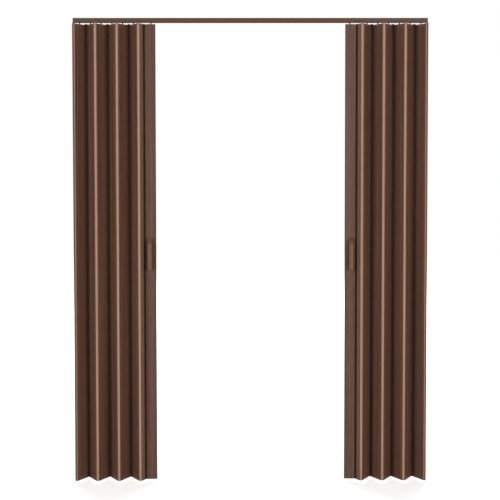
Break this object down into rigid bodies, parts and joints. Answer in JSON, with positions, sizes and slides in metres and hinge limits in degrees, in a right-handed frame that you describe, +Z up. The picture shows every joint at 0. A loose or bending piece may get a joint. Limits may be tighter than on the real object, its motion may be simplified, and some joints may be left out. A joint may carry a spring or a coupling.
{
  "type": "accordion door",
  "caption": "Double accordion door: hollow folding slats linked by hinge strips hang from gliders in a ceiling rail and draw together at lead posts with handles.",
  "frame": {"origin": "middle of the rail's flat top face, which meets the ceiling or lintel", "axes": "+X along the rail, +Y to the rear side, +Z up"},
  "size_m": [1.6082, 0.1029, 2.1],
  "materials": {
    "slat_foil": "dark walnut foil, satin",
    "lead_foil": "walnut foil, satin",
    "hinge_strip": "plain tan, satin",
    "rail_plastic": "plain warm brown, satin",
    "handle_plastic": "moulded brown, fine grain",
    "magnet_strip": "soft brown edge",
    "glider_nylon": "plain dark brown"
  },
  "bodies": {
    "frame": {"rail": "rail_plastic", "rail_end_caps": "rail_plastic", "left_wall_profile": "hinge_strip", "right_wall_profile": "hinge_strip"},
    "left_wall_flap": {"left_wall_flap": "slat_foil"},
    "left_hinge_strip_front_0": {"left_hinge_strip_front_0": "hinge_strip"},
    "left_slat_1": {"left_slat_1": "slat_foil"},
    "left_glider_1": {"left_glider_1": "glider_nylon"},
    "left_hinge_strip_back_1": {"left_hinge_strip_back_1": "hinge_strip"},
    "left_slat_2": {"left_slat_2": "slat_foil"},
    "left_glider_2": {"left_glider_2": "glider_nylon"},
    "left_hinge_strip_front_1": {"left_hinge_strip_front_1": "hinge_strip"},
    "left_slat_3": {"left_slat_3": "slat_foil"},
    "left_glider_3": {"left_glider_3": "glider_nylon"},
    "left_hinge_strip_back_2": {"left_hinge_strip_back_2": "hinge_strip"},
    "left_slat_4": {"left_slat_4": "slat_foil"},
    "left_glider_4": {"left_glider_4": "glider_nylon"},
    "left_hinge_strip_front_2": {"left_hinge_strip_front_2": "hinge_strip"},
    "left_slat_5": {"left_slat_5": "slat_foil"},
    "left_glider_5": {"left_glider_5": "glider_nylon"},
    "left_hinge_strip_back_3": {"left_hinge_strip_back_3": "hinge_strip"},
    "left_slat_6": {"left_slat_6": "slat_foil"},
    "left_glider_6": {"left_glider_6": "glider_nylon"},
    "left_hinge_strip_front_3": {"left_hinge_strip_front_3": "hinge_strip"},
    "left_closing_flap": {"left_closing_flap": "slat_foil"},
    "left_lead": {"left_lead_post": "lead_foil", "left_lead_post_caps": "lead_foil", "left_handle_front": "handle_plastic", "left_handle_back": "handle_plastic", "left_closing_magnet": "magnet_strip", "left_lead_glider": "glider_nylon"},
    "right_wall_flap": {"right_wall_flap": "slat_foil"},
    "right_hinge_strip_front_0": {"right_hinge_strip_front_0": "hinge_strip"},
    "right_slat_1": {"right_slat_1": "slat_foil"},
    "right_glider_1": {"right_glider_1": "glider_nylon"},
    "right_hinge_strip_back_1": {"right_hinge_strip_back_1": "hinge_strip"},
    "right_slat_2": {"right_slat_2": "slat_foil"},
    "right_glider_2": {"right_glider_2": "glider_nylon"},
    "right_hinge_strip_front_1": {"right_hinge_strip_front_1": "hinge_strip"},
    "right_slat_3": {"right_slat_3": "slat_foil"},
    "right_glider_3": {"right_glider_3": "glider_nylon"},
    "right_hinge_strip_back_2": {"right_hinge_strip_back_2": "hinge_strip"},
    "right_slat_4": {"right_slat_4": "slat_foil"},
    "right_glider_4": {"right_glider_4": "glider_nylon"},
    "right_hinge_strip_front_2": {"right_hinge_strip_front_2": "hinge_strip"},
    "right_slat_5": {"right_slat_5": "slat_foil"},
    "right_glider_5": {"right_glider_5": "glider_nylon"},
    "right_hinge_strip_back_3": {"right_hinge_strip_back_3": "hinge_strip"},
    "right_slat_6": {"right_slat_6": "slat_foil"},
    "right_glider_6": {"right_glider_6": "glider_nylon"},
    "right_hinge_strip_front_3": {"right_hinge_strip_front_3": "hinge_strip"},
    "right_closing_flap": {"right_closing_flap": "slat_foil"},
    "right_lead": {"right_lead_post": "lead_foil", "right_lead_post_caps": "lead_foil", "right_handle_front": "handle_plastic", "right_handle_back": "handle_plastic", "right_closing_magnet": "magnet_strip", "right_lead_glider": "glider_nylon"}
  },
  "joints": [
    {"name": "left_leaf_fold", "type": "hinge", "parent": "frame", "child": "left_wall_flap", "pos_m": [-0.7992, 0, -1.0615], "axis": [0, 0, 1], "range_deg": [0, 72.41]},
    {"name": "left_strip_front_0_hinge", "type": "hinge", "parent": "left_wall_flap", "child": "left_hinge_strip_front_0", "pos_m": [-0.796, -0.04569, -1.0615], "axis": [0, 0, 1], "range_deg": [-72.42, 0]},
    {"name": "left_slat_1_hinge", "type": "hinge", "parent": "left_hinge_strip_front_0", "child": "left_slat_1", "pos_m": [-0.79, -0.04569, -1.0615], "axis": [0, 0, 1], "range_deg": [-53.06, 0]},
    {"name": "left_glider_1_swivel", "type": "hinge", "parent": "left_slat_1", "child": "left_glider_1", "pos_m": [-0.76976, 0.00166, -1.0615], "axis": [0, 0, 1], "range_deg": [0, 53.06]},
    {"name": "left_strip_back_1_hinge", "type": "hinge", "parent": "left_slat_1", "child": "left_hinge_strip_back_1", "pos_m": [-0.74951, 0.04901, -1.0615], "axis": [0, 0, 1], "range_deg": [0, 53.06]},
    {"name": "left_slat_2_hinge", "type": "hinge", "parent": "left_hinge_strip_back_1", "child": "left_slat_2", "pos_m": [-0.74151, 0.04901, -1.0615], "axis": [0, 0, 1], "range_deg": [0, 53.06]},
    {"name": "left_glider_2_swivel", "type": "hinge", "parent": "left_slat_2", "child": "left_glider_2", "pos_m": [-0.72126, 0.00166, -1.0615], "axis": [0, 0, 1], "range_deg": [-53.06, 0]},
    {"name": "left_strip_front_1_hinge", "type": "hinge", "parent": "left_slat_2", "child": "left_hinge_strip_front_1", "pos_m": [-0.70102, -0.04569, -1.0615], "axis": [0, 0, 1], "range_deg": [-53.06, 0]},
    {"name": "left_slat_3_hinge", "type": "hinge", "parent": "left_hinge_strip_front_1", "child": "left_slat_3", "pos_m": [-0.69302, -0.04569, -1.0615], "axis": [0, 0, 1], "range_deg": [-53.06, 0]},
    {"name": "left_glider_3_swivel", "type": "hinge", "parent": "left_slat_3", "child": "left_glider_3", "pos_m": [-0.67277, 0.00166, -1.0615], "axis": [0, 0, 1], "range_deg": [0, 53.06]},
    {"name": "left_strip_back_2_hinge", "type": "hinge", "parent": "left_slat_3", "child": "left_hinge_strip_back_2", "pos_m": [-0.65252, 0.04901, -1.0615], "axis": [0, 0, 1], "range_deg": [0, 53.06]},
    {"name": "left_slat_4_hinge", "type": "hinge", "parent": "left_hinge_strip_back_2", "child": "left_slat_4", "pos_m": [-0.64452, 0.04901, -1.0615], "axis": [0, 0, 1], "range_deg": [0, 53.06]},
    {"name": "left_glider_4_swivel", "type": "hinge", "parent": "left_slat_4", "child": "left_glider_4", "pos_m": [-0.62428, 0.00166, -1.0615], "axis": [0, 0, 1], "range_deg": [-53.06, 0]},
    {"name": "left_strip_front_2_hinge", "type": "hinge", "parent": "left_slat_4", "child": "left_hinge_strip_front_2", "pos_m": [-0.60403, -0.04569, -1.0615], "axis": [0, 0, 1], "range_deg": [-53.06, 0]},
    {"name": "left_slat_5_hinge", "type": "hinge", "parent": "left_hinge_strip_front_2", "child": "left_slat_5", "pos_m": [-0.59603, -0.04569, -1.0615], "axis": [0, 0, 1], "range_deg": [-53.06, 0]},
    {"name": "left_glider_5_swivel", "type": "hinge", "parent": "left_slat_5", "child": "left_glider_5", "pos_m": [-0.57578, 0.00166, -1.0615], "axis": [0, 0, 1], "range_deg": [0, 53.06]},
    {"name": "left_strip_back_3_hinge", "type": "hinge", "parent": "left_slat_5", "child": "left_hinge_strip_back_3", "pos_m": [-0.55554, 0.04901, -1.0615], "axis": [0, 0, 1], "range_deg": [0, 53.06]},
    {"name": "left_slat_6_hinge", "type": "hinge", "parent": "left_hinge_strip_back_3", "child": "left_slat_6", "pos_m": [-0.54754, 0.04901, -1.0615], "axis": [0, 0, 1], "range_deg": [0, 53.06]},
    {"name": "left_glider_6_swivel", "type": "hinge", "parent": "left_slat_6", "child": "left_glider_6", "pos_m": [-0.52729, 0.00166, -1.0615], "axis": [0, 0, 1], "range_deg": [-53.06, 0]},
    {"name": "left_strip_front_3_hinge", "type": "hinge", "parent": "left_slat_6", "child": "left_hinge_strip_front_3", "pos_m": [-0.50704, -0.04569, -1.0615], "axis": [0, 0, 1], "range_deg": [-53.06, 0]},
    {"name": "left_closing_flap_hinge", "type": "hinge", "parent": "left_hinge_strip_front_3", "child": "left_closing_flap", "pos_m": [-0.49904, -0.04569, -1.0615], "axis": [0, 0, 1], "range_deg": [-53.06, 0]},
    {"name": "left_lead_hinge", "type": "hinge", "parent": "left_closing_flap", "child": "left_lead", "pos_m": [-0.4788, 0.00166, -1.0615], "axis": [0, 0, 1], "range_deg": [0, 53.06]},
    {"name": "right_leaf_fold", "type": "hinge", "parent": "frame", "child": "right_wall_flap", "pos_m": [0.7992, 0, -1.0615], "axis": [0, 0, -1], "range_deg": [0, 72.41]},
    {"name": "right_strip_front_0_hinge", "type": "hinge", "parent": "right_wall_flap", "child": "right_hinge_strip_front_0", "pos_m": [0.796, -0.04569, -1.0615], "axis": [0, 0, -1], "range_deg": [-72.42, 0]},
    {"name": "right_slat_1_hinge", "type": "hinge", "parent": "right_hinge_strip_front_0", "child": "right_slat_1", "pos_m": [0.79, -0.04569, -1.0615], "axis": [0, 0, -1], "range_deg": [-53.06, 0]},
    {"name": "right_glider_1_swivel", "type": "hinge", "parent": "right_slat_1", "child": "right_glider_1", "pos_m": [0.76976, 0.00166, -1.0615], "axis": [0, 0, -1], "range_deg": [0, 53.06]},
    {"name": "right_strip_back_1_hinge", "type": "hinge", "parent": "right_slat_1", "child": "right_hinge_strip_back_1", "pos_m": [0.74951, 0.04901, -1.0615], "axis": [0, 0, -1], "range_deg": [0, 53.06]},
    {"name": "right_slat_2_hinge", "type": "hinge", "parent": "right_hinge_strip_back_1", "child": "right_slat_2", "pos_m": [0.74151, 0.04901, -1.0615], "axis": [0, 0, -1], "range_deg": [0, 53.06]},
    {"name": "right_glider_2_swivel", "type": "hinge", "parent": "right_slat_2", "child": "right_glider_2", "pos_m": [0.72126, 0.00166, -1.0615], "axis": [0, 0, -1], "range_deg": [-53.06, 0]},
    {"name": "right_strip_front_1_hinge", "type": "hinge", "parent": "right_slat_2", "child": "right_hinge_strip_front_1", "pos_m": [0.70102, -0.04569, -1.0615], "axis": [0, 0, -1], "range_deg": [-53.06, 0]},
    {"name": "right_slat_3_hinge", "type": "hinge", "parent": "right_hinge_strip_front_1", "child": "right_slat_3", "pos_m": [0.69302, -0.04569, -1.0615], "axis": [0, 0, -1], "range_deg": [-53.06, 0]},
    {"name": "right_glider_3_swivel", "type": "hinge", "parent": "right_slat_3", "child": "right_glider_3", "pos_m": [0.67277, 0.00166, -1.0615], "axis": [0, 0, -1], "range_deg": [0, 53.06]},
    {"name": "right_strip_back_2_hinge", "type": "hinge", "parent": "right_slat_3", "child": "right_hinge_strip_back_2", "pos_m": [0.65252, 0.04901, -1.0615], "axis": [0, 0, -1], "range_deg": [0, 53.06]},
    {"name": "right_slat_4_hinge", "type": "hinge", "parent": "right_hinge_strip_back_2", "child": "right_slat_4", "pos_m": [0.64452, 0.04901, -1.0615], "axis": [0, 0, -1], "range_deg": [0, 53.06]},
    {"name": "right_glider_4_swivel", "type": "hinge", "parent": "right_slat_4", "child": "right_glider_4", "pos_m": [0.62428, 0.00166, -1.0615], "axis": [0, 0, -1], "range_deg": [-53.06, 0]},
    {"name": "right_strip_front_2_hinge", "type": "hinge", "parent": "right_slat_4", "child": "right_hinge_strip_front_2", "pos_m": [0.60403, -0.04569, -1.0615], "axis": [0, 0, -1], "range_deg": [-53.06, 0]},
    {"name": "right_slat_5_hinge", "type": "hinge", "parent": "right_hinge_strip_front_2", "child": "right_slat_5", "pos_m": [0.59603, -0.04569, -1.0615], "axis": [0, 0, -1], "range_deg": [-53.06, 0]},
    {"name": "right_glider_5_swivel", "type": "hinge", "parent": "right_slat_5", "child": "right_glider_5", "pos_m": [0.57578, 0.00166, -1.0615], "axis": [0, 0, -1], "range_deg": [0, 53.06]},
    {"name": "right_strip_back_3_hinge", "type": "hinge", "parent": "right_slat_5", "child": "right_hinge_strip_back_3", "pos_m": [0.55554, 0.04901, -1.0615], "axis": [0, 0, -1], "range_deg": [0, 53.06]},
    {"name": "right_slat_6_hinge", "type": "hinge", "parent": "right_hinge_strip_back_3", "child": "right_slat_6", "pos_m": [0.54754, 0.04901, -1.0615], "axis": [0, 0, -1], "range_deg": [0, 53.06]},
    {"name": "right_glider_6_swivel", "type": "hinge", "parent": "right_slat_6", "child": "right_glider_6", "pos_m": [0.52729, 0.00166, -1.0615], "axis": [0, 0, -1], "range_deg": [-53.06, 0]},
    {"name": "right_strip_front_3_hinge", "type": "hinge", "parent": "right_slat_6", "child": "right_hinge_strip_front_3", "pos_m": [0.50704, -0.04569, -1.0615], "axis": [0, 0, -1], "range_deg": [-53.06, 0]},
    {"name": "right_closing_flap_hinge", "type": "hinge", "parent": "right_hinge_strip_front_3", "child": "right_closing_flap", "pos_m": [0.49904, -0.04569, -1.0615], "axis": [0, 0, -1], "range_deg": [-53.06, 0]},
    {"name": "right_lead_hinge", "type": "hinge", "parent": "right_closing_flap", "child": "right_lead", "pos_m": [0.4788, 0.00166, -1.0615], "axis": [0, 0, -1], "range_deg": [0, 53.06]}
  ],
  "couplings": [
    {"joint": "left_strip_front_0_hinge", "follows": "left_leaf_fold", "ratio": -1},
    {"joint": "left_slat_1_hinge", "follows": "left_leaf_fold", "ratio": -0.7326},
    {"joint": "left_glider_1_swivel", "follows": "left_leaf_fold", "ratio": 0.7326},
    {"joint": "left_strip_back_1_hinge", "follows": "left_leaf_fold", "ratio": 0.7326},
    {"joint": "left_slat_2_hinge", "follows": "left_leaf_fold", "ratio": 0.7326},
    {"joint": "left_glider_2_swivel", "follows": "left_leaf_fold", "ratio": -0.7326},
    {"joint": "left_strip_front_1_hinge", "follows": "left_leaf_fold", "ratio": -0.7326},
    {"joint": "left_slat_3_hinge", "follows": "left_leaf_fold", "ratio": -0.7326},
    {"joint": "left_glider_3_swivel", "follows": "left_leaf_fold", "ratio": 0.7326},
    {"joint": "left_strip_back_2_hinge", "follows": "left_leaf_fold", "ratio": 0.7326},
    {"joint": "left_slat_4_hinge", "follows": "left_leaf_fold", "ratio": 0.7326},
    {"joint": "left_glider_4_swivel", "follows": "left_leaf_fold", "ratio": -0.7326},
    {"joint": "left_strip_front_2_hinge", "follows": "left_leaf_fold", "ratio": -0.7326},
    {"joint": "left_slat_5_hinge", "follows": "left_leaf_fold", "ratio": -0.7326},
    {"joint": "left_glider_5_swivel", "follows": "left_leaf_fold", "ratio": 0.7326},
    {"joint": "left_strip_back_3_hinge", "follows": "left_leaf_fold", "ratio": 0.7326},
    {"joint": "left_slat_6_hinge", "follows": "left_leaf_fold", "ratio": 0.7326},
    {"joint": "left_glider_6_swivel", "follows": "left_leaf_fold", "ratio": -0.7326},
    {"joint": "left_strip_front_3_hinge", "follows": "left_leaf_fold", "ratio": -0.7326},
    {"joint": "left_closing_flap_hinge", "follows": "left_leaf_fold", "ratio": -0.7326},
    {"joint": "left_lead_hinge", "follows": "left_leaf_fold", "ratio": 0.7326},
    {"joint": "right_strip_front_0_hinge", "follows": "right_leaf_fold", "ratio": -1},
    {"joint": "right_slat_1_hinge", "follows": "right_leaf_fold", "ratio": -0.7326},
    {"joint": "right_glider_1_swivel", "follows": "right_leaf_fold", "ratio": 0.7326},
    {"joint": "right_strip_back_1_hinge", "follows": "right_leaf_fold", "ratio": 0.7326},
    {"joint": "right_slat_2_hinge", "follows": "right_leaf_fold", "ratio": 0.7326},
    {"joint": "right_glider_2_swivel", "follows": "right_leaf_fold", "ratio": -0.7326},
    {"joint": "right_strip_front_1_hinge", "follows": "right_leaf_fold", "ratio": -0.7326},
    {"joint": "right_slat_3_hinge", "follows": "right_leaf_fold", "ratio": -0.7326},
    {"joint": "right_glider_3_swivel", "follows": "right_leaf_fold", "ratio": 0.7326},
    {"joint": "right_strip_back_2_hinge", "follows": "right_leaf_fold", "ratio": 0.7326},
    {"joint": "right_slat_4_hinge", "follows": "right_leaf_fold", "ratio": 0.7326},
    {"joint": "right_glider_4_swivel", "follows": "right_leaf_fold", "ratio": -0.7326},
    {"joint": "right_strip_front_2_hinge", "follows": "right_leaf_fold", "ratio": -0.7326},
    {"joint": "right_slat_5_hinge", "follows": "right_leaf_fold", "ratio": -0.7326},
    {"joint": "right_glider_5_swivel", "follows": "right_leaf_fold", "ratio": 0.7326},
    {"joint": "right_strip_back_3_hinge", "follows": "right_leaf_fold", "ratio": 0.7326},
    {"joint": "right_slat_6_hinge", "follows": "right_leaf_fold", "ratio": 0.7326},
    {"joint": "right_glider_6_swivel", "follows": "right_leaf_fold", "ratio": -0.7326},
    {"joint": "right_strip_front_3_hinge", "follows": "right_leaf_fold", "ratio": -0.7326},
    {"joint": "right_closing_flap_hinge", "follows": "right_leaf_fold", "ratio": -0.7326},
    {"joint": "right_lead_hinge", "follows": "right_leaf_fold", "ratio": 0.7326}
  ]
}
